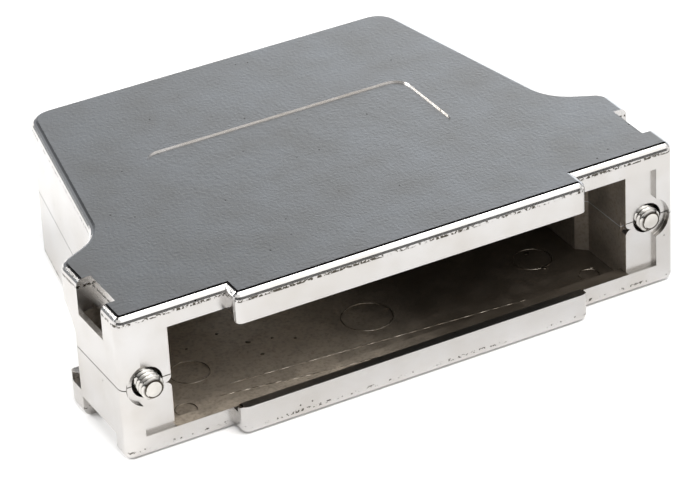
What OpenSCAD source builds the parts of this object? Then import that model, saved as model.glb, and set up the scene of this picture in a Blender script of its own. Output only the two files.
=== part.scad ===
// Die-cast hood for a 37-way D-sub connector: two shells, a pair of floating
// jackscrews held by snap rings, a cable clamp and the screws that close it.
// X runs along the connector, Y from the connector to the cable, Z up.
// The origin lies midway between the jackscrew axes, in the wings' front plane.

/* [Outline] */
// Spacing of the jackscrew axes
screw_spacing = 63.5; // [62:0.25:66]
// Jackscrew axis to the side face of its wing
wing_edge = 3.3; // [2.95:0.05:3.6]
// Front plane of the wings to the rear wall's outer face
depth = 47.4; // [44:0.1:56]
// Width across the rear corners, measured where the side lines meet the rear wall
rear_width = 47.8; // [44:0.1:52]
// Front plane to the outer rear corner of a wing
wing_depth = 14.5; // [14:0.1:16]
// Front plane to the point where shoulder line and side line meet
shoulder_depth = 17.5; // [17:0.1:19]
// How far that point lies inside the wing's side face
shoulder_inset = 5.7; // [5:0.1:6.2]
// Radius of the rear corners
rear_corner_r = 3.2; // [2:0.1:5]
// Radius of the hollow between side and shoulder
shoulder_r = 5.7; // [4:0.1:6.5]
// Radius of the wings' outer rear corners
wing_corner_r = 2.2; // [1.4:0.1:2.6]
// Radius of all outer edges
edge_r = 0.95; // [0.4:0.05:1]

/* [Shells] */
// Jackscrew axis to the top face
upper_height = 9.1; // [8.8:0.1:11]
// Jackscrew axis to the bottom face
lower_height = 9; // [8.6:0.01:11]
// Wall thickness of both shells
wall = 1.6; // [1.4:0.05:1.8]
// Height of the seam on the outside
seam_z = 0; // [-0.3:0.05:0.4]
// Overlap of the lap joint, measured down from the outside seam
lap = 0.85; // [0.6:0.05:1.2]
// Open line left along the outside seam
seam_gap = 0.08; // [0.04:0.01:0.12]
// Depth of the plain label field in the top face
label_depth = 0.2; // [0.1:0.05:0.3]
// Length of the label field
label_length = 34; // [20:1:38]
// Width of the label field
label_width = 13; // [8:1:16]

/* [Connector mouth] */
// Half length of the lips that cover the connector's flange
lip_half = 22.1; // [20:0.1:24]
// How far the lips stand out in front of the wings
lip_out = 2.33; // [2.1:0.01:2.8]
// Thickness of a lip in front of the flange
lip_thickness = 1.2; // [0.9:0.05:1.4]
// Clear height between the lips
mouth_height = 10.66; // [10:0.02:11]
// Height of the recess that takes the flange
flange_height = 12.75; // [12.6:0.05:13]
// Length of the recess that takes the flange
flange_length = 65.3; // [65:0.1:66.2]
// Depth of that recess below the wings' front plane
flange_seat = 0.6; // [0.4:0.05:1]
// Length of the opening behind the flange
opening_length = 57.8; // [57.2:0.1:58]
// Thickness of the front wall behind the flange
front_wall = 1.15; // [0.9:0.05:1.5]

/* [Wings] */
// Thickness of the front wall round a jackscrew
wing_front = 3.7; // [3.3:0.1:4]
// Front plane to the rear wall of the jackscrew chamber
chamber_end = 10.2; // [9.8:0.1:10.6]
// Height of the chamber above and below the axis
chamber_half = 5.6; // [5:0.1:5.8]
// Chamber wall towards the connector cavity
chamber_inner_wall = 0.7; // [0.6:0.05:0.75]
// Chamber wall towards the outside
chamber_outer_wall = 0.65; // [0.5:0.05:0.7]
// Front plane to the floor of the rear recess round a jackscrew
recess_floor = 11.3; // [10.9:0.1:11.6]
// Radius of that rear recess at its floor
recess_r = 3.8; // [3.6:0.05:4.2]
// Radius of the rear recess where it opens to the back
recess_mouth_r = 5.6; // [4.4:0.1:5.8]
// Length over which the rear recess widens
recess_flare = 1.9; // [1.2:0.1:2.4]
// Depth of the side notches, measured from the side face
notch_depth = 1.8; // [1.4:0.1:2.2]
// Front plane to the front end of the upper notch
notch_start = 3.75; // [3.5:0.05:4.2]
// Front plane to the rear end of the upper notch
notch_end = 9.9; // [9.4:0.1:10.1]
// Height of the upper notch's sill above the axis
upper_notch_z = 4.75; // [4.2:0.05:4.9]
// Front plane to the front end of the lower notch
lower_notch_start = 2.6; // [2.2:0.1:3.4]
// Front plane to the rear end of the lower notch
lower_notch_end = 11; // [10.4:0.1:11.2]
// Depth of the lower notch's roof below the axis
lower_notch_z = 6.4; // [6.2:0.05:7]
// Depth of the rear side pocket's sill below the axis
pocket_z = 5.6; // [5:0.1:6]

/* [Jackscrews] */
// Thread radius of a jackscrew, for a 4-40 UNC thread
thread_r = 1.42; // [1.3:0.01:1.45]
// Length of the threaded end
thread_length = 5.6; // [5:0.1:6.4]
// Radius of the plain shank
shank_r = 1.5; // [1.46:0.01:1.55]
// Length of a jackscrew
screw_length = 15.3; // [15:0.1:16.5]
// How far the left jackscrew stands out of the wings' front plane
left_tip = 1.14; // [0.2:0.02:1.4]
// How far the right jackscrew stands out of the wings' front plane
right_tip = 0.34; // [0.2:0.02:1.4]
// Radius of the hole in the wing's front wall
front_hole_r = 1.85; // [1.75:0.01:1.9]
// Radius by which the flange recess bulges out round that hole
relief_r = 2.65; // [2.4:0.05:2.8]
// Radial clearance of the shank in its rear guide and of the ring in its groove
running_gap = 0.05; // [0.03:0.01:0.08]
// Outer radius of a snap ring
ring_r = 2.1; // [2:0.01:2.12]
// Thickness of a snap ring
ring_thickness = 0.8; // [0.6:0.05:1]
// Jackscrew tip to the front face of its snap ring
ring_place = 7.75; // [7:0.05:8.4]

/* [Cable clamp] */
// Radius of the cable outlet in the rear wall
outlet_r = 6.5; // [5:0.1:6.8]
// Radius of the saddle that grips the cable
saddle_r = 5; // [4:0.1:5.2]
// Thickness of the clamp halves
clamp_thickness = 1.4; // [1:0.05:1.5]
// Length of the clamp halves along the cable
clamp_length = 5; // [4.6:0.1:5.4]
// Rear wall's inner face to the middle of the clamp
clamp_inset = 5; // [4.2:0.1:6]
// Distance of a clamp screw from the middle plane
clamp_screw_x = 9.6; // [9.4:0.1:10.4]
// Opening between the two clamp halves
clamp_opening = 2.4; // [1.6:0.1:3]
// Thread radius of the clamp screws
clamp_screw_r = 1.25; // [1:0.05:1.3]

/* [Case screws] */
// Distance of a case screw from the middle plane
case_screw_x = 17.6; // [17:0.1:17.8]
// Rear wall's inner face to the case screw axis
case_screw_inset = 5; // [4.6:0.1:7]
// Thread radius of the case screws
case_screw_r = 1.5; // [1.2:0.05:1.6]
// Head radius of the case screws
case_head_r = 2.7; // [2.3:0.05:2.8]
// Head height of the case screws
case_head_h = 1.8; // [1.4:0.05:2]
// Depth of the screw heads below the bottom face
head_sink = 0.3; // [0.1:0.05:0.6]

/* [Hidden] */
$fn = 48;
eps = 0.01;
far = 200;                     // reach of a cut that runs right out of the part
arc_steps = 9;                 // flats along each rounded corner of the outline
edge_facets = 20;              // flats round the ball that rounds the outer edges
screw_gap = 0.15;              // clearance of a fixed screw in a plain hole
thread_gap = 0.03;             // clearance of a fixed screw in its tapped hole
boss_wall = 1.2;               // wall of a boss round a tapped hole
slot_width = 0.8;              // screwdriver slot of every screw
slot_depth = 0.9;
tip_chamfer = 0.35;
seam_corner_r = 0.8;           // rounded seam corners beside the opening
lip_corner_r = 0.45;           // rounded inner ends of the lips
pocket_rim = 0.9;              // wall behind the rear side pocket

screw_x = screw_spacing / 2;
wing_half = screw_x + wing_edge;
rear_half = rear_width / 2;
shoulder_half = wing_half - shoulder_inset;
mouth_half = mouth_height / 2;
flange_half = flange_height / 2;
opening_half = opening_length / 2;
front_wall_end = flange_seat + front_wall;
ceiling_z = upper_height - wall;
floor_z = wall - lower_height;
rear_inside = depth - wall;
seam_in_z = seam_z - lap;      // the seam as seen from inside
chamber_in = opening_half + chamber_inner_wall;
chamber_out = wing_half - chamber_outer_wall;
side_step = 1.2;               // the cavity narrows by this behind the chamber
cavity_half = opening_half - side_step;
recess_in = cavity_half + 0.9; // flat inner side of the rear recess
guide_r = shank_r + running_gap;
groove_r = shank_r - 0.35;
clamp_y = rear_inside - clamp_inset;
clamp_outer_r = saddle_r + clamp_thickness;
ear_half = clamp_screw_x + 2.8;
ear_top = clamp_opening / 2 + clamp_thickness;
clamp_head_r = clamp_screw_r + 0.95;
clamp_head_h = 1.5;
case_y = rear_inside - case_screw_inset;
case_seat_z = -lower_height + head_sink + case_head_h;
case_tip_z = ceiling_z - 3;
label_centre = depth / 2 + 0.6;
label_corner = 2;

// Unit vector from a to b, and the signed turn at b on the way from a to c.
function toward(a, b) = (b - a) / norm(b - a);
function turn(a, b, c) =
    let (u = toward(a, b), v = toward(b, c))
    atan2(u.x * v.y - u.y * v.x, u * v);

// Points of the arc of radius r that rounds corner b between a and c.
function corner(a, b, c, r) =
    let (t = turn(a, b, c),
         side = sign(t),
         u = toward(a, b),
         start = b - u * r * tan(abs(t) / 2),
         centre = start + side * r * [-u.y, u.x],
         first = atan2(start.y - centre.y, start.x - centre.x))
    r == 0 ? [b] : [for (i = [0:arc_steps]) centre + r * [cos(first + t * i / arc_steps),
                                                         sin(first + t * i / arc_steps)]];

// Closed outline from [x, y, radius] corners, each rounded by its own radius.
function rounded(c) = let (n = len(c))
    [for (i = [0:n - 1])
        let (a = c[(i + n - 1) % n], b = c[i], d = c[(i + 1) % n])
        each corner([a.x, a.y], [b.x, b.y], [d.x, d.y], b.z)];

// Right-hand corners followed by their mirror images.
function both_sides(c) = concat(c, [for (i = [len(c) - 1:-1:0]) [-c[i].x, c[i].y, c[i].z]]);

// Side line of the body, moved inward by t: its x at a given y.
side_slope = (shoulder_half - rear_half) / (depth - shoulder_depth);
function side_x(y, t) = rear_half + side_slope * (depth - y) - t * sqrt(1 + side_slope ^ 2);
function side_y(x, t) = depth - (x - rear_half + t * sqrt(1 + side_slope ^ 2)) / side_slope;

module outline() {
    polygon(rounded(both_sides([
        [lip_half, -lip_out, 0], [lip_half, 0, 0], [wing_half, 0, 0],
        [wing_half, wing_depth, wing_corner_r], [shoulder_half, shoulder_depth, shoulder_r],
        [rear_half, depth, rear_corner_r]])));
}

// The closed body with every outer edge rounded.
module body() {
    translate([0, 0, -lower_height + edge_r])
        minkowski() {
            linear_extrude(lower_height + upper_height - 2 * edge_r)
                offset(delta = -edge_r) outline();
            sphere(edge_r / cos(180 / edge_facets), $fn = edge_facets);
        }
}

// A box given by its low and high corners.
module box(low, high) {
    translate(low) cube(high - low);
}

// Children on the right, and mirrored on the left.
module pair() {
    children();
    mirror([1, 0, 0]) children();
}

// A cylinder along +Y that starts at y.
module rod(r, y, length) {
    translate([0, y, 0]) rotate([-90, 0, 0]) cylinder(r = r, h = length);
}

// Stock left outside a rounding of radius r that touches both planes of a corner.
// The corner lies at the origin, the solid reaches to -X and +Z, the edge runs along Y.
module edge_waste(r, y, length) {
    translate([0, y, 0]) difference() {
        box([-r, -eps, -eps], [eps, length + eps, r]);
        translate([-r, -2 * eps, r]) rotate([-90, 0, 0]) cylinder(r = r, h = length + 4 * eps);
    }
}

module cavity() {
    translate([0, 0, floor_z]) linear_extrude(ceiling_z - floor_z)
        polygon(rounded(both_sides([
            [opening_half, front_wall_end, 0],
            [opening_half, chamber_end - wall, 0],
            [cavity_half, chamber_end - wall + side_step, 0],
            [cavity_half, side_y(cavity_half, wall), 2],
            [side_x(rear_inside, wall), rear_inside, rear_corner_r - wall]])));
}

// Everything that the connector passes through or rests in.
module mouth() {
    box([-opening_half, -lip_out - 1, -mouth_half], [opening_half, 0, mouth_half]);
    box([-flange_length / 2, lip_thickness - lip_out, -flange_half],
        [flange_length / 2, flange_seat, flange_half]);
    box([-opening_half, 0, -flange_half], [opening_half, front_wall_end + eps, flange_half]);
}

// Inner ends of the lips, rounded between the mouth and the open wing.
module lip_ends() {
    pair() for (up = [0, 1]) mirror([0, 0, up])
        translate([lip_half, 0, mouth_half])
            edge_waste(lip_corner_r, -lip_out - eps, lip_thickness + 2 * eps);
}

// Hollows of the right wing, measured from the jackscrew axis.
module wing_hollows() {
    translate([screw_x, 0, 0]) {
        rod(front_hole_r, 0, wing_front + eps);
        rod(relief_r, -1, 1 + flange_seat);
        rod(guide_r, chamber_end - eps, recess_floor - chamber_end + 2 * eps);
        intersection() {
            union() {
                translate([0, recess_floor, 0]) rotate([-90, 0, 0])
                    cylinder(r1 = recess_r, r2 = recess_mouth_r, h = recess_flare);
                rod(recess_mouth_r, recess_floor + recess_flare - eps, depth);
            }
            box([recess_in - screw_x, recess_floor, -far], [far, far, far]);
        }
    }
    box([chamber_in, wing_front, -chamber_half], [chamber_out, chamber_end, chamber_half]);
}

// Pocket in the side face beside the rear recess of the lower shell.
module rear_pocket() {
    box([wing_half - notch_depth, recess_floor, -pocket_z],
        [far, wing_depth - pocket_rim, -shank_r]);
}

// Plan of the lap joint's inner part, which belongs to the upper shell.
module lap_plan() {
    polygon(rounded(both_sides([
        [screw_x, -far, 0], [screw_x, shoulder_depth, 0],
        [side_x(shoulder_depth, wall / 2), shoulder_depth, 0],
        [side_x(depth - wall / 2, wall / 2), depth - wall / 2, rear_corner_r - wall / 2]])));
}

// Space of the upper shell: all above the outside seam, and the lap's inner part.
module upper_space(gap) {
    box([-far, -far, seam_z + gap], [far, far, far]);
    translate([0, 0, seam_in_z]) linear_extrude(far) lap_plan();
}

// The hollow body that both shells are cut from.
module casing() {
    difference() {
        body();
        cavity();
        mouth();
        lip_ends();
        pair() wing_hollows();
        rod(outlet_r, rear_inside - eps, wall + 1);
    }
}

// Plain sunk field in the top face, left bare.
module label_field() {
    corner_x = label_length / 2 - label_corner;
    corner_y = label_width / 2 - label_corner;
    translate([0, label_centre, upper_height - label_depth]) linear_extrude(1) {
        square([2 * corner_x, label_width], center = true);
        square([label_length, 2 * corner_y], center = true);
        for (x = [-corner_x, corner_x], y = [-corner_y, corner_y]) translate([x, y]) circle(label_corner);
    }
}

// Post that carries a screw, from z0 up to z1.
module post(x, y, r, z0, z1) {
    translate([x, y, z0]) cylinder(r = r, h = z1 - z0);
}

module upper_shell() {
    color([0.62, 0.62, 0.6]) difference() {
        union() {
            intersection() {
                casing();
                upper_space(seam_gap);
            }
            pair() post(case_screw_x, case_y, case_screw_r + boss_wall, seam_in_z, ceiling_z + eps);
        }
        pair() {
            post(case_screw_x, case_y, case_screw_r + thread_gap, seam_in_z - 1, case_tip_z + 0.5);
            box([wing_half - notch_depth, notch_start, upper_notch_z], [far, notch_end, far]);
            translate([opening_half, 0, seam_in_z]) mirror([1, 0, 0])
                edge_waste(seam_corner_r, 0, front_wall_end);
        }
        label_field();
    }
}

module lower_shell() {
    color([0.66, 0.66, 0.64]) difference() {
        union() {
            difference() {
                casing();
                upper_space(0);
            }
            pair() {
                post(case_screw_x, case_y, case_head_r + 0.9, floor_z - eps, seam_in_z);
                post(clamp_screw_x, clamp_y, clamp_screw_r + boss_wall, floor_z - eps, -ear_top);
            }
        }
        pair() {
            post(case_screw_x, case_y, case_screw_r + screw_gap, -far, seam_in_z + 1);
            post(case_screw_x, case_y, case_head_r + screw_gap, -far, case_seat_z);
            post(clamp_screw_x, clamp_y, clamp_screw_r + thread_gap, floor_z + 0.2, 0);
            box([wing_half - notch_depth, lower_notch_start, -far],
                [far, lower_notch_end, -lower_notch_z]);
            rear_pocket();
            translate([opening_half, 0, seam_in_z]) rotate([0, 180, 0])
                edge_waste(seam_corner_r, 0, front_wall_end);
        }
        ejector_marks();
    }
}

// Round marks of the casting tool's ejector pins, sunk in the cavity floor.
module ejector_marks() {
    translate([0, 0, floor_z - 0.08]) {
        pair() {
            translate([cavity_half - 5.4, 10.5, 0]) cylinder(r = 2.3, h = 1);
            translate([cavity_half - 1.7, 3.9, 0]) cylinder(r = 1.25, h = 1);
        }
        translate([0, 9.9, 0]) cylinder(r = 3, h = 1);
    }
}

// A jackscrew on the Y axis with its tip at the origin.
module jackscrew() {
    color([0.8, 0.8, 0.79]) difference() {
        union() {
            translate([0, tip_chamfer, 0]) rotate([90, 0, 0])
                cylinder(r1 = thread_r, r2 = thread_r - tip_chamfer, h = tip_chamfer);
            rod(thread_r, tip_chamfer, thread_length - tip_chamfer + eps);
            rod(shank_r, thread_length, screw_length - thread_length);
        }
        difference() {
            rod(shank_r + 1, ring_place - running_gap, ring_thickness + 2 * running_gap);
            rod(groove_r, 0, screw_length);
        }
        box([-slot_width / 2, screw_length - slot_depth, -shank_r - 1],
            [slot_width / 2, screw_length + 1, shank_r + 1]);
    }
}

// A snap ring with its mouth downwards, in the groove of a jackscrew at the origin.
module snap_ring() {
    color([0.45, 0.46, 0.48]) difference() {
        rod(ring_r, ring_place, ring_thickness);
        rod(groove_r + running_gap, ring_place - 1, ring_thickness + 2);
        box([-groove_r * 0.8, ring_place - 1, -far], [groove_r * 0.8, ring_place + 2, 0]);
    }
}

// Upper half of the clamp: a saddle between two ears.
module clamp_half() {
    color([0.7, 0.7, 0.69]) translate([0, clamp_y - clamp_length / 2, 0]) difference() {
        union() {
            rod(clamp_outer_r, 0, clamp_length);
            box([-ear_half, 0, clamp_opening / 2], [ear_half, clamp_length, ear_top]);
        }
        rod(saddle_r, -1, clamp_length + 2);
        box([-far, -1, -far], [far, clamp_length + 1, clamp_opening / 2]);
        pair() post(clamp_screw_x, clamp_length / 2, clamp_screw_r + screw_gap, 0, far);
    }
}

// A slotted screw along Z: seat at z, head above it, tip at the given depth below.
module slotted_screw(r, length, head_r, head_h) {
    color([0.78, 0.78, 0.77]) difference() {
        union() {
            translate([0, 0, -length + tip_chamfer]) cylinder(r = r, h = length - tip_chamfer + eps);
            translate([0, 0, -length]) cylinder(r1 = r - tip_chamfer, r2 = r, h = tip_chamfer);
            cylinder(r = head_r, h = head_h);
        }
        translate([-slot_width / 2, -far, head_h - slot_depth]) cube([slot_width, 2 * far, far]);
    }
}

module clamp_screw() {
    translate([clamp_screw_x, clamp_y, ear_top])
        slotted_screw(clamp_screw_r, ear_top - floor_z - 0.4, clamp_head_r, clamp_head_h);
}

module case_screw() {
    translate([case_screw_x, case_y, case_seat_z]) rotate([180, 0, 0])
        slotted_screw(case_screw_r, case_tip_z - case_seat_z, case_head_r, case_head_h);
}

module clamp_upper() clamp_half();
module clamp_lower() mirror([0, 0, 1]) clamp_half();
module jackscrew_left() translate([-screw_x, -left_tip, 0]) jackscrew();
module jackscrew_right() translate([screw_x, -right_tip, 0]) jackscrew();
module snap_ring_left() translate([-screw_x, -left_tip, 0]) snap_ring();
module snap_ring_right() translate([screw_x, -right_tip, 0]) snap_ring();
module clamp_screw_left() mirror([1, 0, 0]) clamp_screw();
module clamp_screw_right() clamp_screw();
module case_screw_left() mirror([1, 0, 0]) case_screw();
module case_screw_right() case_screw();

upper_shell();
lower_shell();
jackscrew_left();
jackscrew_right();
snap_ring_left();
snap_ring_right();
clamp_upper();
clamp_lower();
clamp_screw_left();
clamp_screw_right();
case_screw_left();
case_screw_right();
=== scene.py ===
"""Looks of a die-cast connector hood: finishes, cut threads, light, floor and camera.

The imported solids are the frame. This script dresses them with the finish each
one has, replaces the plain screws with threaded ones, adds the fine marks on
the cavity floor and sets up the studio. Lengths in the classes are
millimetres; Blender objects are in metres.
"""
import logging
import math
from dataclasses import dataclass, field
from enum import Enum
from functools import partial
from typing import Callable, Dict, List, Optional, Tuple, Union

import bmesh
import bpy
from mathutils import Matrix, Vector


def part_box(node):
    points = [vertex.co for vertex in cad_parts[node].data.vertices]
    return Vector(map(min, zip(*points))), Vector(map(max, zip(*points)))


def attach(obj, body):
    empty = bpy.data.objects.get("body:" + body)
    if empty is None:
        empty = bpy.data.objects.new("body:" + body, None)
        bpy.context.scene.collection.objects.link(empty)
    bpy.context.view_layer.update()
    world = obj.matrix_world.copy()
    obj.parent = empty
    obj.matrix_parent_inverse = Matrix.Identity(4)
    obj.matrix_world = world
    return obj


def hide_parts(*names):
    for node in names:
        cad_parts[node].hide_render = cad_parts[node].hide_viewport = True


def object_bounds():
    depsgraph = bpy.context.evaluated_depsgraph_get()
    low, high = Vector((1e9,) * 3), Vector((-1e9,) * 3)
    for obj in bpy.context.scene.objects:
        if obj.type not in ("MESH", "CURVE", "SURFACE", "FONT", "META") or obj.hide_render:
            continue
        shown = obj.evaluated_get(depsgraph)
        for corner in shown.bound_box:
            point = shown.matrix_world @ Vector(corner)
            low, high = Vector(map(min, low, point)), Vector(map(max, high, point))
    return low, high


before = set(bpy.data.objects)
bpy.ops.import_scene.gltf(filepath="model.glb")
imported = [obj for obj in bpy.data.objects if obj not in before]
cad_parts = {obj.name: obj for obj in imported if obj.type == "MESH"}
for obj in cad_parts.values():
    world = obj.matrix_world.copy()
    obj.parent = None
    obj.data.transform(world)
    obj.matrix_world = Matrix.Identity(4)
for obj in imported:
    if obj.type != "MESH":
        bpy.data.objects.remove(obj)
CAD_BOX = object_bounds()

Adder = Callable[..., bpy.types.Node]
Socket = bpy.types.NodeSocket
Inputs = Dict[Union[int, str], object]
Loop = List[bmesh.types.BMVert]
Rgba = Tuple[float, float, float, float]
Span = Tuple[float, float]
Noise = Tuple[float, float, float]    # size in mm, detail, roughness

LOG = logging.getLogger("hood")
MM = 0.001
CREASE = math.radians(32)             # edges that turn by more stay sharp
SCREW_X = 31.75                       # from the middle to each screw's axis

# Socket numbers of the Mix node: its share, its plain values and its colours.
SHARE, VALUE_A, VALUE_B, COLOUR_A, COLOUR_B, COLOUR_OUT = 0, 2, 3, 6, 7, 2


class Side(Enum):
    """Which wing of the hood a piece belongs to."""

    LEFT = "left"
    RIGHT = "right"


class Axis(Enum):
    """A direction of the room, by its place in a vector."""

    X = 0
    Y = 1
    Z = 2


def linear(hex_colour: str) -> Rgba:
    """Turns an sRGB hex colour into linear values.

    Args:
        hex_colour: A # and six hex digits.

    Returns:
        Linear red, green and blue, and a full alpha.
    """
    parts = [int(hex_colour[i:i + 2], 16) / 255 for i in (1, 3, 5)]
    r, g, b = (c / 12.92 if c <= 0.04045 else ((c + 0.055) / 1.055) ** 2.4 for c in parts)
    return (r, g, b, 1.0)


def fill(node: bpy.types.Node, inputs: Inputs) -> None:
    """Fills or links a node's inputs.

    Args:
        node: The node.
        inputs: Socket names or numbers, each with a value or an output socket.
    """
    for key, value in inputs.items():
        if isinstance(value, Socket):
            node.id_data.links.new(value, node.inputs[key])
        else:
            node.inputs[key].default_value = value


def add_node(tree: bpy.types.NodeTree, kind: str, inputs: Optional[Inputs] = None,
             **settings: str) -> bpy.types.Node:
    """Adds one node, sets its properties, and fills or links its inputs.

    Args:
        tree: The node tree that gets the node.
        kind: The node's type name after ShaderNode.
        inputs: Socket names or numbers, each with a value or an output socket.
        **settings: Properties of the node itself.

    Returns:
        The new node.
    """
    node = tree.nodes.new("ShaderNode" + kind)
    for name, value in settings.items():
        setattr(node, name, value)
    fill(node, inputs or {})
    return node


@dataclass(frozen=True)
class Place:
    """Sockets that tell where in the part's frame a surface point lies and how it faces."""

    point: Socket
    x: Socket
    y: Socket
    z: Socket
    beside: Socket    # x without its sign
    level: Socket     # z without its sign
    facing: Socket    # the normal's y without its sign
    tilt: Socket      # the normal's z without its sign

    @classmethod
    def read(cls, add: Adder) -> "Place":
        """Adds the nodes that read the place.

        Args:
            add: Adds a node to the material's tree.

        Returns:
            The sockets.
        """
        coordinates = add("TexCoord")
        point = coordinates.outputs["Object"]
        x, y, z = add("SeparateXYZ", {0: point}).outputs
        _, normal_y, normal_z = add("SeparateXYZ", {0: coordinates.outputs["Normal"]}).outputs
        unsigned = [add("Math", {0: value}, operation="ABSOLUTE").outputs[0]
                    for value in (x, z, normal_y, normal_z)]
        return cls(point, x, y, z, *unsigned)

    def off_screw(self, add: Adder) -> Socket:
        """Gives the distance from the nearer screw's axis.

        Args:
            add: Adds a node to the material's tree.

        Returns:
            The distance's socket.
        """
        aside = add("Math", {0: self.beside, 1: SCREW_X * MM}, operation="SUBTRACT").outputs[0]
        radial = add("CombineXYZ", {0: aside, 2: self.z}).outputs[0]
        return add("VectorMath", {0: radial}, operation="LENGTH").outputs["Value"]


@dataclass(frozen=True)
class Finish:
    """What every finish shares: a node material with one surface shader."""

    def build(self, name: str) -> bpy.types.Material:
        """Makes the material.

        Args:
            name: What the real material is.

        Returns:
            The finished material.
        """
        material = bpy.data.materials.new(name)
        material.use_nodes = True
        tree = material.node_tree
        tree.nodes.clear()
        shader = add_node(tree, "BsdfPrincipled")
        add_node(tree, "OutputMaterial", {"Surface": shader.outputs[0]})
        self.paint(partial(add_node, tree), shader)
        return material

    def paint(self, add: Adder, shader: bpy.types.Node) -> None:
        """Fills in the shader with the nodes that add makes."""
        raise NotImplementedError


@dataclass(frozen=True)
class NickelPlatedZinc(Finish):
    """Satin nickel plate on a zinc die casting.

    The plate follows the spark-eroded grain of the casting die on the large
    faces, so they look softly pebbled, while tumbling has polished the rounded
    edges, which catch the light as a bright line. Inside the cavity hardly any
    plate settles, so the zinc's dull brown skin shows, and its floor is painted
    with light near the left wing that turns to painted shade towards the right.
    Painted shade also darkens the low ledges and the rims round the screw holes.
    """

    # The plate, browner where it is thin, and a painted shade on the low ledges below the top
    # and bottom faces.
    plate: str = "#d2d2d3"
    shaded: str = "#b2aca4"
    painted_ledge_shade: str = "#989591"
    painted_ledge_shade_reach_mm: float = 7.9
    # The bare zinc inside, with painted light on its floor that turns to painted shade over this
    # stretch along x; the dull colour also marks the skin's spots.
    skin: str = "#9c9184"
    painted_lit_floor: str = "#b3a797"
    dull_spots_and_painted_floor_shade: str = "#524a40"
    painted_floor_shade_turn_mm: Span = (-9.0, 9.0)
    spot_span: Span = (0.45, 0.8)
    spot_share: float = 0.5
    # The die's real grain is too fine to show, so it is drawn coarser.
    grain: Noise = (0.38, 2.5, 0.55)
    grain_depth_mm: float = 0.036
    grain_strength: float = 0.6
    edge_grain: float = 0.1
    # Slow shading of the plate, and the casting's shallow sink marks.
    flow: Noise = (7.0, 4.0, 0.6)
    sag: Noise = (2.4, 2.0, 0.5)
    sag_depth_mm: float = 0.012
    sag_strength: float = 0.5
    sag_span: Span = (0.3, 0.7)
    # From which tilt a surface counts as a level face or as an upright wall.
    face_tilt: Span = (0.96, 0.995)
    wall_tilt: Span = (0.2, 0.04)
    face_roughness: float = 0.3
    edge_roughness: float = 0.15
    wall_roughness: float = 0.27
    inside_roughness: Span = (0.3, 0.7)
    inside_metal: float = 0.6
    # Height and width of the dark seam and of the bright lap line inside. The dark colour serves
    # the seam, the pinholes and the broken edge lines, and is the painted shade round the screw
    # holes.
    grime_and_painted_shade: str = "#4a463f"
    seam_mm: Span = (0.03, 0.13)
    lap_mm: Span = (-0.85, 0.1)
    # Pinholes that gas leaves.
    pit_mm: float = 1.5
    pit_share: float = 0.07
    pit_cluster: float = 0.56
    # Broken dark lines along the walls where their rounding starts.
    edge_line_mm: Span = (8.12, -7.95)
    edge_line_width_mm: float = 0.32
    edge_line_share: Span = (0.75, 0.84)
    edge_line_grain: Noise = (0.45, 2.0, 0.7)
    edge_line_grouping: float = 0.5
    # Painted shade on the rounded wall round each screw hole: its reach from the screw's axis,
    # its depth behind the front, and the noise span that tears it.
    relief_shade_mm: Span = (2.5, 2.75)
    rim_shade_mm: Span = (0.04, 0.56)
    relief_shade_tear: Span = (0.38, 0.6)
    # Hollows: reach beside, slanted reach, front, rear, reach above and below.
    side_slope: float = 0.182
    hollows: Tuple[Tuple[float, ...], ...] = (
        (29.55, 31.7, 1.5, 46.6, 7.65),     # cavity, with its slanted sides
        (28.93, 40.0, 0.03, 1.8, 6.4),      # mouth
        (34.45, 40.0, 1.8, 10.25, 4.73),    # wing chambers below the notch's sill
        (33.2, 40.0, 1.8, 10.25, 5.62))     # and above it

    def paint(self, add: Adder, shader: bpy.types.Node) -> None:
        """Fills in the shader.

        Args:
            add: Adds a node to the material's tree.
            shader: The surface shader.
        """
        place = Place.read(add)
        face, wall = (add("MapRange", {"Value": place.tilt, "From Min": low, "From Max": high},
                          interpolation_type="SMOOTHSTEP").outputs[0]
                      for low, high in (self.face_tilt, self.wall_tilt))
        grain, flow, sag = (add("TexNoise", {"Vector": place.point, "Scale": 1 / (size * MM),
                                             "Detail": detail, "Roughness": rough}).outputs[0]
                            for size, detail, rough in (self.grain, self.flow, self.sag))
        inside = self._inside(add, place)
        colour = add("Mix", {SHARE: inside, COLOUR_A: self._plated(add, place, face, wall, flow),
                             COLOUR_B: self._bare(add, place, face, grain)}, data_type="RGBA")
        metal = add("MapRange", {"Value": inside, "To Min": 1.0, "To Max": self.inside_metal})
        fill(shader, {"Base Color": colour.outputs[COLOUR_OUT], "Metallic": metal.outputs[0],
                      "Roughness": self._roughness(add, face, wall, inside, sag),
                      "Normal": self._normal(add, face, grain, sag)})

    def _plated(self, add: Adder, place: Place, face: Socket, wall: Socket,
                flow: Socket) -> Socket:
        """Gives the plate's colour, with the dark places on it: the seam, pinholes and broken
        edge lines, and painted shade on the low ledges and on the rims round the screw holes.

        Args:
            add: Adds a node to the material's tree.
            place: Where the surface point lies.
            face: 1 on level faces.
            wall: 1 on upright faces.
            flow: The slow noise that shades the plate.

        Returns:
            The colour's socket.
        """
        # Painted shade on the level ledges below the top and bottom faces.
        painted_ledge_shade = add("Math", {0: place.level, 1: self.painted_ledge_shade_reach_mm * MM},
                    operation="LESS_THAN").outputs[0]
        painted_ledge_shade = add("Math", {0: painted_ledge_shade, 1: face}, operation="MULTIPLY").outputs[0]
        colour = linear(self.plate)
        for share, tone in ((flow, self.shaded), (painted_ledge_shade, self.painted_ledge_shade),
                            (self._line(add, place, *self.seam_mm), self.grime_and_painted_shade),
                            (self._pits(add, place, flow), self.grime_and_painted_shade),
                            (self._broken_edge_lines(add, place, wall, flow), self.grime_and_painted_shade),
                            (self._painted_relief_shade(add, place, flow), self.grime_and_painted_shade)):
            colour = add("Mix", {SHARE: share, COLOUR_A: colour, COLOUR_B: linear(tone)},
                         data_type="RGBA").outputs[COLOUR_OUT]
        return colour

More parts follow.
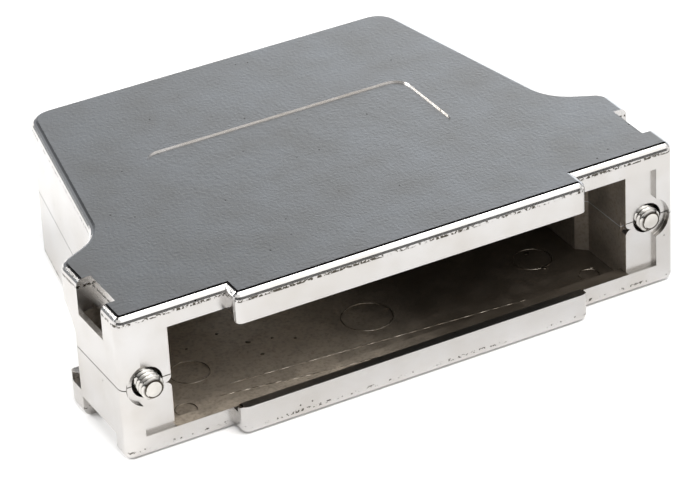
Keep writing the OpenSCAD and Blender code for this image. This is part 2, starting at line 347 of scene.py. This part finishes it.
    def _bare(self, add: Adder, place: Place, face: Socket, grain: Socket) -> Socket:
        """Gives the colour of the bare skin inside, with painted light on its floor near the
        left wing that turns to painted shade towards the right, and with the bright edge of the
        lap joint.

        Args:
            add: Adds a node to the material's tree.
            place: Where the surface point lies.
            face: 1 on level faces.
            grain: The fine noise that spots the skin.

        Returns:
            The colour's socket.
        """
        # Painted light on the cavity floor near the left wing, turning to painted shade towards
        # the right.
        start, end = (limit * MM for limit in self.painted_floor_shade_turn_mm)
        turn = add("MapRange", {"Value": place.x, "From Min": start, "From Max": end},
                   interpolation_type="SMOOTHSTEP").outputs[0]
        low, high = self.spot_span
        spots = add("MapRange", {"Value": grain, "From Min": low, "From Max": high,
                                 "To Max": self.spot_share}).outputs[0]
        lap = self._line(add, place, *self.lap_mm)
        # The dull colour is both the painted floor shade and the colour of the skin's spots.
        dull = linear(self.dull_spots_and_painted_floor_shade)
        floor = add("Mix", {SHARE: turn, COLOUR_A: linear(self.painted_lit_floor), COLOUR_B: dull},
                    data_type="RGBA").outputs[COLOUR_OUT]
        colour = linear(self.skin)
        for share, tone in ((face, floor), (spots, dull), (lap, linear(self.plate))):
            colour = add("Mix", {SHARE: share, COLOUR_A: colour, COLOUR_B: tone},
                         data_type="RGBA").outputs[COLOUR_OUT]
        return colour

    def _roughness(self, add: Adder, face: Socket, wall: Socket, inside: Socket,
                   sag: Socket) -> Socket:
        """Gives the roughness: least on the tumbled edges, uneven on the bare skin.

        Args:
            add: Adds a node to the material's tree.
            face: 1 on level faces.
            wall: 1 on upright faces.
            inside: 1 in the hollows.
            sag: The noise of the sink marks.

        Returns:
            The roughness's socket.
        """
        (low, high), (smooth, dull) = self.sag_span, self.inside_roughness
        cast = add("MapRange", {"Value": sag, "From Min": low, "From Max": high,
                                "To Min": smooth, "To Max": dull}).outputs[0]
        rough = add("MapRange", {"Value": face, "To Min": self.edge_roughness,
                                 "To Max": self.face_roughness}).outputs[0]
        for share, value in ((wall, self.wall_roughness), (inside, cast)):
            rough = add("Mix", {SHARE: share, VALUE_A: rough, VALUE_B: value}).outputs[0]
        return rough

    def _normal(self, add: Adder, face: Socket, grain: Socket, sag: Socket) -> Socket:
        """Gives the bumped normal: sink marks everywhere, pebbles mostly on level faces.

        Args:
            add: Adds a node to the material's tree.
            face: 1 on level faces.
            grain: The fine noise of the die's grain.
            sag: The noise of the sink marks.

        Returns:
            The normal's socket.
        """
        depth = add("MapRange", {"Value": face, "To Min": self.edge_grain,
                                 "To Max": 1.0}).outputs[0]
        pebbles = add("Math", {0: grain, 1: depth}, operation="MULTIPLY").outputs[0]
        waves = add("Bump", {"Strength": self.sag_strength,
                             "Distance": self.sag_depth_mm * MM, "Height": sag}).outputs[0]
        return add("Bump", {"Strength": self.grain_strength, "Height": pebbles, "Normal": waves,
                            "Distance": self.grain_depth_mm * MM}).outputs[0]

    def _line(self, add: Adder, place: Place, height: float, width: float) -> Socket:
        """Gives 1 on a thin level line of that height and width, and 0 elsewhere."""
        return add("Math", {0: place.z, 1: height * MM, 2: width * MM / 2},
                   operation="COMPARE").outputs[0]

    def _pits(self, add: Adder, place: Place, flow: Socket) -> Socket:
        """Gives 1 in the pinholes that gas leaves in a casting, which lie in loose groups.

        Args:
            add: Adds a node to the material's tree.
            place: Where the surface point lies.
            flow: The slow noise that groups them.

        Returns:
            The share's socket.
        """
        cells = add("TexVoronoi", {"Vector": place.point, "Scale": 1 / (self.pit_mm * MM)})
        hole = add("Math", {0: cells.outputs["Distance"], 1: self.pit_share},
                   operation="LESS_THAN").outputs[0]
        group = add("Math", {0: flow, 1: self.pit_cluster}, operation="GREATER_THAN").outputs[0]
        return add("Math", {0: hole, 1: group}, operation="MULTIPLY").outputs[0]

    def _broken_edge_lines(self, add: Adder, place: Place, wall: Socket, flow: Socket) -> Socket:
        """Gives broken dark lines along the walls where their rounding starts.

        Args:
            add: Adds a node to the material's tree.
            place: Where the surface point lies.
            wall: 1 on upright faces.
            flow: The slow noise that groups the torn places.

        Returns:
            The share's socket.
        """
        size, detail, rough = self.edge_line_grain
        grains = add("TexNoise", {"Vector": place.point, "Scale": 1 / (size * MM),
                                  "Detail": detail, "Roughness": rough}).outputs[0]
        grouped = add("Math", {0: flow, 1: self.edge_line_grouping, 2: grains},
                      operation="MULTIPLY_ADD").outputs[0]
        shares = []
        for height, limit in zip(self.edge_line_mm, self.edge_line_share):
            share = add("Math", {0: grouped, 1: limit}, operation="GREATER_THAN").outputs[0]
            for factor in (self._line(add, place, height, self.edge_line_width_mm), wall):
                share = add("Math", {0: share, 1: factor}, operation="MULTIPLY").outputs[0]
            shares.append(share)
        return self._widest(add, shares)

    def _painted_relief_shade(self, add: Adder, place: Place, flow: Socket) -> Socket:
        """Gives torn patches of painted shade on the rim round each screw hole.

        Args:
            add: Adds a node to the material's tree.
            place: Where the surface point lies.
            flow: The slow noise that tears them.

        Returns:
            The share's socket.
        """
        # Painted shade, torn by noise, on the rim round each screw hole near the front.
        low, high = self.relief_shade_tear
        share = add("MapRange", {"Value": flow, "From Min": low, "From Max": high}).outputs[0]
        reach = place.off_screw(add)
        for value, (start, end) in ((reach, self.relief_shade_mm), (place.y, self.rim_shade_mm)):
            middle, half = (start + end) / 2 * MM, (end - start) / 2 * MM
            near = add("Math", {0: value, 1: middle, 2: half}, operation="COMPARE").outputs[0]
            share = add("Math", {0: share, 1: near}, operation="MULTIPLY").outputs[0]
        return share

    def _inside(self, add: Adder, place: Place) -> Socket:
        """Gives 1 in the hollows and 0 outside them.

        Args:
            add: Adds a node to the material's tree.
            place: Where the surface point lies.

        Returns:
            The share's socket.
        """
        slanted = add("Math", {0: place.y, 1: self.side_slope, 2: place.beside},
                      operation="MULTIPLY_ADD").outputs[0]
        shares = []
        for reach, slanted_reach, front, rear, high in self.hollows:
            share = add("Math", {0: place.y, 1: front * MM}, operation="GREATER_THAN").outputs[0]
            for value, limit in ((place.beside, reach), (slanted, slanted_reach),
                                 (place.y, rear), (place.level, high)):
                below = add("Math", {0: value, 1: limit * MM}, operation="LESS_THAN").outputs[0]
                share = add("Math", {0: share, 1: below}, operation="MULTIPLY").outputs[0]
            shares.append(share)
        return self._widest(add, shares)

    def _widest(self, add: Adder, shares: List[Socket]) -> Socket:
        """Gives 1 wherever one of several shares is 1.

        Args:
            add: Adds a node to the material's tree.
            shares: Their sockets.

        Returns:
            The common share's socket.
        """
        whole = shares[0]
        for share in shares[1:]:
            whole = add("Math", {0: whole, 1: share}, operation="MAXIMUM").outputs[0]
        return whole


@dataclass(frozen=True)
class TurnedSteel(Finish):
    """Turned steel with a bright plate.

    The lathe leaves fine rings round the axis, which draw highlights out into
    short streaks across the screw. A thread is darker at its roots.
    """

    metal: str = "#d2cfca"
    worn: str = "#b9b6b0"
    dark_root: str = "#3c362f"
    threaded: bool = False
    root_mm: Span = (1.06, 1.24)
    end_face: float = 0.97            # a normal closer to the axis is an end's
    roughness: float = 0.13
    roughness_spread: Span = (-0.06, 0.08)
    # The lathe's real rings are too fine to show, so they are drawn coarser.
    ring_mm: float = 0.12
    ring_detail: float = 2.0
    ring_depth_mm: float = 0.002
    ring_strength: float = 0.6
    spot_mm: float = 0.6
    spot_detail: float = 3.0

    def paint(self, add: Adder, shader: bpy.types.Node) -> None:
        """Fills in the shader.

        Args:
            add: Adds a node to the material's tree.
            shader: The surface shader.
        """
        place = Place.read(add)
        rings = add("TexNoise", {"W": place.y, "Scale": 1 / (self.ring_mm * MM),
                                 "Detail": self.ring_detail}, noise_dimensions="1D").outputs[0]
        spots = add("TexNoise", {"Vector": place.point, "Scale": 1 / (self.spot_mm * MM),
                                 "Detail": self.spot_detail}).outputs[0]
        bump = add("Bump", {"Strength": self.ring_strength, "Height": rings,
                            "Distance": self.ring_depth_mm * MM}).outputs[0]
        smooth, dull = (self.roughness + spread for spread in self.roughness_spread)
        rough = add("MapRange", {"Value": spots, "To Min": smooth, "To Max": dull}).outputs[0]
        colour = linear(self.metal)
        darker_marks = [(spots, self.worn)]
        # A threaded screw is darker at its roots.
        if self.threaded:
            darker_marks.append((self._root(add, place), self.dark_root))
        for share, tone in darker_marks:
            colour = add("Mix", {SHARE: share, COLOUR_A: colour, COLOUR_B: linear(tone)},
                         data_type="RGBA").outputs[COLOUR_OUT]
        fill(shader, {"Base Color": colour, "Roughness": rough, "Normal": bump,
                      "Metallic": 1.0})

    def _root(self, add: Adder, place: Place) -> Socket:
        """Gives 1 at the thread's roots and 0 on its crests and ends.

        Args:
            add: Adds a node to the material's tree.
            place: Where the surface point lies.

        Returns:
            The share's socket.
        """
        low, high = (limit * MM for limit in self.root_mm)
        deep = add("MapRange", {"Value": place.off_screw(add), "From Min": low,
                                "From Max": high, "To Min": 1.0, "To Max": 0.0}).outputs[0]
        flank = add("Math", {0: place.facing, 1: self.end_face},
                    operation="LESS_THAN").outputs[0]
        return add("Math", {0: deep, 1: flank}, operation="MULTIPLY").outputs[0]


# Nickel over a cut thread: its flanks flash white and black.
NICKEL_PLATED_STEEL = TurnedSteel(threaded=True)
# Phosphate soaks up oil, so spring steel looks dark grey and soft.
PHOSPHATED_STEEL = TurnedSteel(metal="#6d7074", worn="#5c5f63", roughness=0.3)
# Passivated zinc is silvery with a cool cast, and less sharp than nickel.
ZINC_PLATED_STEEL = TurnedSteel(metal="#c9ccd2", worn="#aeb2b8", roughness=0.2)


@dataclass(frozen=True)
class TornFlash(Finish):
    """Raw zinc that stands up from the cavity floor: flash, blisters and scores.

    It tore when the casting left its die. Its fresh parts are a little
    brighter than the skin around them and the rest has dulled, so that it
    shows as a broken line.
    """

    fresh: str = "#aaa195"
    dulled: str = "#746b5f"
    torn_span: Span = (0.42, 0.52)
    spot_mm: float = 1.1
    spot_detail: float = 3.0
    depth_mm: float = 0.02
    strength: float = 0.5
    roughness: float = 0.35

    def paint(self, add: Adder, shader: bpy.types.Node) -> None:
        """Fills in the shader.

        Args:
            add: Adds a node to the material's tree.
            shader: The surface shader.
        """
        point = add("TexCoord").outputs["Object"]
        spots = add("TexNoise", {"Vector": point, "Scale": 1 / (self.spot_mm * MM),
                                 "Detail": self.spot_detail}).outputs[0]
        bump = add("Bump", {"Strength": self.strength, "Distance": self.depth_mm * MM,
                            "Height": spots}).outputs[0]
        low, high = self.torn_span
        torn = add("MapRange", {"Value": spots, "From Min": low, "From Max": high}).outputs[0]
        shade = add("Mix", {SHARE: torn, COLOUR_A: linear(self.fresh),
                            COLOUR_B: linear(self.dulled)}, data_type="RGBA")
        fill(shader, {"Base Color": shade.outputs[COLOUR_OUT], "Normal": bump,
                      "Metallic": 1.0, "Roughness": self.roughness})


@dataclass(frozen=True)
class PaperSweep(Finish):
    """Uncoated white backdrop paper: pressed fibre, so an even pale floor without gloss."""

    paper: str = "#f9f8f7"
    fibre: str = "#f4f3f2"
    # Single fibres are too fine to show, so their clumps are drawn.
    fibre_mm: float = 1.5
    fibre_detail: float = 3.0
    roughness: float = 0.9
    specular: float = 0.1

    def paint(self, add: Adder, shader: bpy.types.Node) -> None:
        """Fills in the shader.

        Args:
            add: Adds a node to the material's tree.
            shader: The surface shader.
        """
        point = add("TexCoord").outputs["Object"]
        fibres = add("TexNoise", {"Vector": point, "Scale": 1 / (self.fibre_mm * MM),
                                  "Detail": self.fibre_detail}).outputs[0]
        colour = add("Mix", {SHARE: fibres, COLOUR_A: linear(self.paper),
                             COLOUR_B: linear(self.fibre)}, data_type="RGBA")
        fill(shader, {"Base Color": colour.outputs[COLOUR_OUT], "Roughness": self.roughness,
                      "Specular IOR Level": self.specular})


def bridge(mesh: bmesh.types.BMesh, loops: List[Loop], closed: bool = False) -> None:
    """Joins each loop of points to the next with faces.

    Args:
        mesh: The mesh that holds the points.
        loops: Loops of equally many points.
        closed: Whether the last loop joins the first.
    """
    pairs = list(zip(loops, loops[1:])) + ([(loops[-1], loops[0])] if closed else [])
    for a, b in pairs:
        for j in range(len(a)):
            k = (j + 1) % len(a)
            mesh.faces.new((a[j], a[k], b[k], b[j]))


def soften(data: bpy.types.Mesh) -> None:
    """Shades a mesh smooth between its sharp edges."""
    data.shade_smooth()
    data.set_sharp_from_angle(angle=CREASE)


def mesh_object(name: str, mesh: bmesh.types.BMesh) -> bpy.types.Object:
    """Turns a bmesh into a linked object with creased smooth shading.

    Args:
        name: The object's name.
        mesh: The geometry, which is freed.

    Returns:
        The new object.
    """
    bmesh.ops.recalc_face_normals(mesh, faces=mesh.faces)
    data = bpy.data.meshes.new(name)
    mesh.to_mesh(data)
    mesh.free()
    soften(data)
    obj = bpy.data.objects.new(name, data)
    bpy.context.scene.collection.objects.link(obj)
    return obj


def dress(obj: bpy.types.Object, material: bpy.types.Material) -> None:
    """Gives every material slot of an object the same material.

    Args:
        obj: The object.
        material: Its finish.
    """
    if not obj.material_slots:
        obj.data.materials.append(material)
    for slot in obj.material_slots:
        slot.material = material


@dataclass
class Jackscrew:
    """One floating jackscrew with a cut thread, a ring groove and a slotted end."""

    side: Side
    pitch: float = 0.635
    thread_depth: float = 0.36
    thread_radius: float = 1.42
    thread_length: float = 5.6
    root_flat: float = 0.1            # as a share of half a pitch
    flank_width: float = 0.78         # likewise
    run_out_turns: float = 0.8
    tip_radius: float = 1.0
    tip_slope: float = 1.7
    shank_radius: float = 1.5
    shank_chamfer: float = 0.08
    groove_start: float = 7.7
    groove_length: float = 0.9
    groove_radius: float = 1.15
    end_chamfer: float = 0.15
    slot_width: float = 0.8
    slot_depth: float = 0.9
    segments: int = 96
    steps_per_turn: int = 14

    @property
    def node(self) -> str:
        """Name of the solid that this screw stands for."""
        return f"jackscrew_{self.side.value}"

    def build(self, material: bpy.types.Material) -> bpy.types.Object:
        """Makes the screw in its wing and lets it ride with its body.

        Args:
            material: The screw's finish.

        Returns:
            The finished piece.
        """
        low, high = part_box(self.node)
        axis_x, axis_z = (low.x + high.x) / 2, (low.z + high.z) / 2
        mesh = bmesh.new()
        loops = []
        for along, radius_at in self._rows((high.y - low.y) / MM):
            loop = []
            for j in range(self.segments):
                turn = j / self.segments
                radius, angle = radius_at(turn) * MM, 2 * math.pi * turn
                loop.append(mesh.verts.new((axis_x + radius * math.cos(angle),
                                            low.y + along * MM,
                                            axis_z + radius * math.sin(angle))))
            loops.append(loop)
        bridge(mesh, loops)
        for cap in (loops[0], loops[-1]):
            mesh.faces.new(cap)
        obj = mesh_object(f"jackscrew_{self.side.value}_threaded", mesh)
        self._cut_slot(obj, Vector((axis_x, high.y, axis_z)))
        dress(obj, material)
        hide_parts(self.node)
        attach(obj, f"screw_{self.side.value}")
        return obj

    def _thread(self, along: float, turn: float) -> float:
        """Radius of the threaded end.

        Args:
            along: Distance from the tip.
            turn: Angle round the axis, in turns.

        Returns:
            The radius at that place.
        """
        phase = (along / self.pitch - turn) % 1.0
        flank = (abs(phase - 0.5) * 2 - self.root_flat) / self.flank_width
        run_out = (self.thread_length - along) / (self.run_out_turns * self.pitch)
        flank, run_out = (min(1.0, max(0.0, share)) for share in (flank, run_out))
        cut = self.thread_radius - self.thread_depth * (1 - flank) * run_out
        return min(cut, self.tip_radius + along * self.tip_slope)

    def _rows(self, length: float) -> List[Tuple[float, Callable[[float], float]]]:
        """Lists the rings of points from tip to slotted end.

        Args:
            length: Length of the whole screw.

        Returns:
            For each ring, its distance from the tip and its radius by turn.
        """
        count = int(self.thread_length / self.pitch * self.steps_per_turn)
        step = self.thread_length / count
        rows = [(i * step, partial(self._thread, i * step)) for i in range(count)]
        groove_end = self.groove_start + self.groove_length
        for along, radius in ((self.thread_length, self.thread_radius),
                              (self.thread_length + self.shank_chamfer, self.shank_radius),
                              (self.groove_start, self.shank_radius),
                              (self.groove_start, self.groove_radius),
                              (groove_end, self.groove_radius),
                              (groove_end, self.shank_radius),
                              (length - self.end_chamfer, self.shank_radius),
                              (length, self.shank_radius - self.end_chamfer)):
            rows.append((along, lambda turn, same=radius: same))
        return rows

    def _cut_slot(self, obj: bpy.types.Object, end: Vector) -> None:
        """Cuts the screwdriver slot into the rear end.

        Args:
            obj: The screw.
            end: Middle of its rear end face.
        """
        cutter = bmesh.new()
        # Half of the cutter lies beyond the end, and it is wider than the screw.
        size = Vector((self.slot_width, 2 * self.slot_depth, 4 * self.shank_radius)) * MM
        bmesh.ops.create_cube(cutter, size=1.0,
                              matrix=Matrix.Translation(end) @ Matrix.Diagonal((*size, 1)))
        tool = mesh_object("slot_tool", cutter)
        cut = obj.modifiers.new("slot", "BOOLEAN")
        cut.operation, cut.object, cut.solver = "DIFFERENCE", tool, "EXACT"
        graph = bpy.context.evaluated_depsgraph_get()
        data = bpy.data.meshes.new_from_object(obj.evaluated_get(graph))
        obj.modifiers.clear()
        obj.data = data
        soften(data)
        bpy.data.objects.remove(tool)


@dataclass
class Casting:
    """The two die-cast shells and the clamp halves inside them."""

    nodes: Tuple[str, ...] = ("upper_shell", "lower_shell", "clamp_upper", "clamp_lower")

    def build(self, material: bpy.types.Material) -> None:
        """Dresses the castings.

        Args:
            material: Their common finish.
        """
        for name in self.nodes:
            dress(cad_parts[name], material)
            LOG.info("%s: cast and plated", name)


@dataclass
class CavityMarks:
    """Flash rings round the ejector pins, blisters and scores on the cavity floor."""

    floor_wall: float = 1.6
    # Each middle's place beside and behind, and the radius.
    pins: Tuple[Tuple[float, float, float], ...] = (
        (-22.3, 10.5, 2.3), (22.3, 10.5, 2.3), (-26.0, 3.9, 1.25), (26.0, 3.9, 1.25),
        (0.0, 9.9, 3.0))
    blisters: Tuple[Tuple[float, float, float], ...] = (
        (-16.1, 16.0, 0.22), (-13.9, 12.5, 0.3), (-9.0, 10.4, 0.2), (-20.4, 15.0, 0.18),
        (22.4, 12.0, 0.3), (22.4, 8.1, 0.35), (27.0, 5.1, 0.25), (-11.2, 11.8, 0.2),
        (-13.7, 9.4, 0.25), (-19.0, 21.0, 0.25))
    # Start, end, and rise above the floor.
    scores: Tuple[Tuple[float, float, float, float, float], ...] = (
        (-19.5, 5.95, 17.0, 3.2, 0.0), (-21.6, 4.3, -14.5, 3.3, 0.0),
        (-15.2, 1.65, -2.4, 0.1, 1.025))
    flash: float = 0.05
    waver: Tuple[Span, ...] = ((0.4, 0.9), (0.3, 2.3))    # share of the height, rate by step
    step: float = 0.25
    sides: int = 6
    dome_height: float = 0.35                             # as a share of the radius
    dome_swell: float = 0.25
    dome_rate: Span = (9000.0, 8000.0)                    # by metre across the dome
    dome_shift: Span = (40.0, 30.0)                       # so that each dome differs

    def build(self, material: bpy.types.Material) -> bpy.types.Object:
        """Makes all the marks as one piece on the lower shell.

        Args:
            material: Their finish.

        Returns:
            The finished piece.
        """
        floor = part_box("lower_shell")[0].z / MM + self.floor_wall
        mesh = bmesh.new()
        for x, y, radius in self.pins:
            count = int(2 * math.pi * radius / self.step)
            turns = [2 * math.pi * i / count for i in range(count)]
            self._bead(mesh, [Vector((x + radius * math.cos(turn), y + radius * math.sin(turn),
                                      floor)) for turn in turns], True)
        for x0, y0, x1, y1, rise in self.scores:
            start, end = Vector((x0, y0, floor + rise)), Vector((x1, y1, floor + rise))
            count = int((end - start).length / self.step)
            self._bead(mesh, [start.lerp(end, i / count) for i in range(count + 1)], False)
        for x, y, radius in self.blisters:
            self._blister(mesh, x, y, floor, radius)
        obj = mesh_object("cavity_floor_marks", mesh)
        dress(obj, material)
        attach(obj, "hood")
        return obj

    def _bead(self, mesh: bmesh.types.BMesh, path: List[Vector], closed: bool) -> None:
        """Adds a thin ridge along a path, whose height wavers along its way.

        Args:
            mesh: The mesh that gets it.
            path: Its points.
            closed: Whether it returns to its start.
        """
        loops = []
        for i, at in enumerate(path):
            ahead = path[(i + 1) % len(path)] - path[i - 1] if closed else path[-1] - path[0]
            across = ahead.cross(Vector((0, 0, 1))).normalized()
            tall = self.flash * (1 + sum(share * math.sin(rate * i)
                                         for share, rate in self.waver))
            loop = []
            for j in range(self.sides):
                turn = 2 * math.pi * j / self.sides
                spot = at + across * self.flash * math.cos(turn)
                spot.z += tall * math.sin(turn)
                loop.append(mesh.verts.new(spot * MM))
            loops.append(loop)
        bridge(mesh, loops, closed)
        if not closed:
            for cap in (loops[0], loops[-1][::-1]):
                mesh.faces.new(cap)

    def _blister(self, mesh: bmesh.types.BMesh, x: float, y: float, floor: float,
                 radius: float) -> None:
        """Adds a low uneven dome.

        Args:
            mesh: The mesh that gets it.
            x: Its place along the connector.
            y: Its place along the cable.
            floor: Height of the cavity floor.
            radius: Its radius.
        """
        (rate_x, rate_y), (shift_x, shift_y) = self.dome_rate, self.dome_shift
        dome = bmesh.ops.create_icosphere(mesh, subdivisions=2, radius=radius * MM)["verts"]
        for vert in dome:
            ripple = (math.sin(rate_x * vert.co.x + shift_x * x)
                      * math.cos(rate_y * vert.co.y + shift_y * y))
            swell = 1 + self.dome_swell * ripple
            vert.co = Vector((x * MM + vert.co.x * swell, y * MM + vert.co.y * swell,
                              floor * MM + self.dome_height * vert.co.z))


@dataclass
class Fasteners:
    """Snap rings, clamp screws and case screws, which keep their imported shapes."""

    rings: Tuple[str, ...] = ("snap_ring_left", "snap_ring_right")
    screws: Tuple[str, ...] = ("clamp_screw_left", "clamp_screw_right",
                               "case_screw_left", "case_screw_right")

    def build(self, ring_finish: bpy.types.Material,
              screw_finish: bpy.types.Material) -> None:
        """Dresses the rings and screws.

        Args:
            ring_finish: Finish of the snap rings.
            screw_finish: Finish of the screws.
        """
        for names, finish in ((self.rings, ring_finish), (self.screws, screw_finish)):
            for name in names:
                dress(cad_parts[name], finish)
                LOG.info("%s: dressed", name)


@dataclass(frozen=True)
class Softbox:
    """A rectangular lamp that faces the part."""

    name: str
    place: Tuple[float, float, float]    # metres
    size: Span                           # metres
    power: float                         # watts


@dataclass(frozen=True)
class Ramp:
    """A smooth change of the room's brightness along one direction."""

    axis: Axis
    low: float
    high: float
    start: float
    end: float


@dataclass
class Studio:
    """Paper floor, soft light and the camera."""

    floor_half: float = 900.0
    softboxes: Tuple[Softbox, ...] = (
        Softbox("top_softbox", (0.2, -0.7, 1.5), (1.5, 1.0), 18.5),
        Softbox("rear_softbox", (-1.25, 1.0, 1.0), (1.3, 0.9), 36.0))
    behind: Ramp = Ramp(Axis.Y, -0.25, 0.12, 0.0, 1.0)
    front_wall: Tuple[Ramp, ...] = (
        Ramp(Axis.Z, 0.34, 0.6, 0.42, 1.0),        # brightest above,
        Ramp(Axis.Z, 0.1, 0.24, 0.15, 2.0),        # with a dark skirting,
        Ramp(Axis.X, -0.4, 0.1, 0.6, 1.0))         # and darker to the left
    back_wall: Tuple[Ramp, ...] = (
        Ramp(Axis.Z, 0.3, 0.62, 1.034, 0.1175),    # brightest below,
        Ramp(Axis.X, 0.12, 0.6, 0.4, 1.55),        # lighter to the right,
        Ramp(Axis.Z, 0.53, 0.66, 1.0, 0.05))       # and dark at the ceiling
    front_tint: str = "#ffffff"
    back_tint: str = "#f0f7ff"
    target: Vector = field(default_factory=lambda: Vector((4.761, 20.0, -2.936)) * MM)
    azimuth: float = -27.441
    elevation: float = 30.412
    roll: float = -2.956
    distance: float = 410.4
    lens: float = 182.4
    sensor: float = 36.0
    shift: Span = (-0.01283, -0.01002)
    clip: Span = (0.01, 50.0)                      # metres

    def build(self, paper: bpy.types.Material) -> None:
        """Makes the floor, the lights, the room and the camera.

        Args:
            paper: The floor's finish.
        """
        self._floor(paper)
        for softbox in self.softboxes:
            self._light(softbox)
        self._room()
        self._camera()
        scene = bpy.context.scene
        scene.view_settings.view_transform = "Standard"
        scene.view_settings.look = "None"

    def _floor(self, paper: bpy.types.Material) -> None:
        """Lays the paper floor under the lowest point of the part.

        Args:
            paper: The floor's finish.
        """
        low = CAD_BOX[0]
        mesh = bmesh.new()
        half = self.floor_half * MM
        corners = [mesh.verts.new((x, y, low.z)) for x, y in
                   ((-half, -half), (half, -half), (half, half), (-half, half))]
        mesh.faces.new(corners)
        floor = mesh_object("paper_floor", mesh)
        dress(floor, paper)

    def _light(self, softbox: Softbox) -> None:
        """Hangs one softbox.

        Args:
            softbox: Its name, place, size and power.
        """
        lamp = bpy.data.lights.new(softbox.name, "AREA")
        lamp.shape, lamp.energy = "RECTANGLE", softbox.power
        lamp.size, lamp.size_y = softbox.size
        obj = bpy.data.objects.new(softbox.name, lamp)
        obj.location = Vector(softbox.place)
        obj.rotation_euler = (self.target - obj.location).to_track_quat("-Z", "Y").to_euler()
        bpy.context.scene.collection.objects.link(obj)

    def _brightness(self, add: Adder, axes: List[Socket], ramps: Tuple[Ramp, ...]) -> Socket:
        """Gives the product of several ramps.

        Args:
            add: Adds a node to the room's tree.
            axes: The three parts of the direction.
            ramps: The ramps.

        Returns:
            The brightness's socket.
        """
        shares = [add("MapRange", {"Value": axes[ramp.axis.value], "From Min": ramp.low,
                                   "From Max": ramp.high, "To Min": ramp.start,
                                   "To Max": ramp.end},
                      interpolation_type="SMOOTHSTEP").outputs[0] for ramp in ramps]
        whole = shares[0]
        for share in shares[1:]:
            whole = add("Math", {0: whole, 1: share}, operation="MULTIPLY").outputs[0]
        return whole

    def _room(self) -> None:
        """Fills the room: light in front, grey low behind, dark high behind."""
        world = bpy.data.worlds.new("studio_room")
        bpy.context.scene.world = world
        world.use_nodes = True
        tree = world.node_tree
        tree.nodes.clear()
        add = partial(add_node, tree)
        axes = list(add("SeparateXYZ", {0: add("TexCoord").outputs["Generated"]}).outputs)
        behind, front, back = (self._brightness(add, axes, ramps) for ramps in
                               ((self.behind,), self.front_wall, self.back_wall))
        level = add("Mix", {SHARE: behind, VALUE_A: front, VALUE_B: back}).outputs[0]
        tint = add("Mix", {SHARE: behind, COLOUR_A: linear(self.front_tint),
                           COLOUR_B: linear(self.back_tint)}, data_type="RGBA")
        shader = add("Background", {"Color": tint.outputs[COLOUR_OUT], "Strength": level})
        add("OutputWorld", {"Surface": shader.outputs[0]})

    def _camera(self) -> None:
        """Sets the camera."""
        a, e, roll = (math.radians(v) for v in (self.azimuth, self.elevation, self.roll))
        back = Vector((math.sin(a) * math.cos(e), -math.cos(a) * math.cos(e), math.sin(e)))
        right = (-back).cross(Vector((0, 0, 1))).normalized()
        up = right.cross(-back)
        turned_right = right * math.cos(roll) + up * math.sin(roll)
        turned_up = -right * math.sin(roll) + up * math.cos(roll)
        lens = bpy.data.cameras.new("camera")
        lens.lens, lens.sensor_width = self.lens, self.sensor
        lens.shift_x, lens.shift_y = self.shift
        lens.clip_start, lens.clip_end = self.clip
        camera = bpy.data.objects.new("camera", lens)
        axes = Matrix((turned_right, turned_up, back)).transposed().to_4x4()
        camera.matrix_world = Matrix.Translation(self.target + back * self.distance * MM) @ axes
        bpy.context.scene.collection.objects.link(camera)
        bpy.context.scene.camera = camera


def main() -> None:
    """Builds every piece in order and reports each one."""
    logging.basicConfig(level=logging.INFO, format="%(name)s: %(message)s")
    Studio().build(PaperSweep().build("matt_white_paper"))
    Casting().build(NickelPlatedZinc().build("nickel_plated_zinc_casting"))
    marks = CavityMarks().build(TornFlash().build("torn_zinc_flash"))
    LOG.info("%s: raised", marks.name)
    steel = NICKEL_PLATED_STEEL.build("bright_nickel_plated_steel")
    for side in Side:
        piece = Jackscrew(side).build(steel)
        LOG.info("%s: threaded", piece.name)
    Fasteners().build(PHOSPHATED_STEEL.build("phosphated_spring_steel"),
                      ZINC_PLATED_STEEL.build("zinc_plated_steel"))


if __name__ == "__main__":
    main()
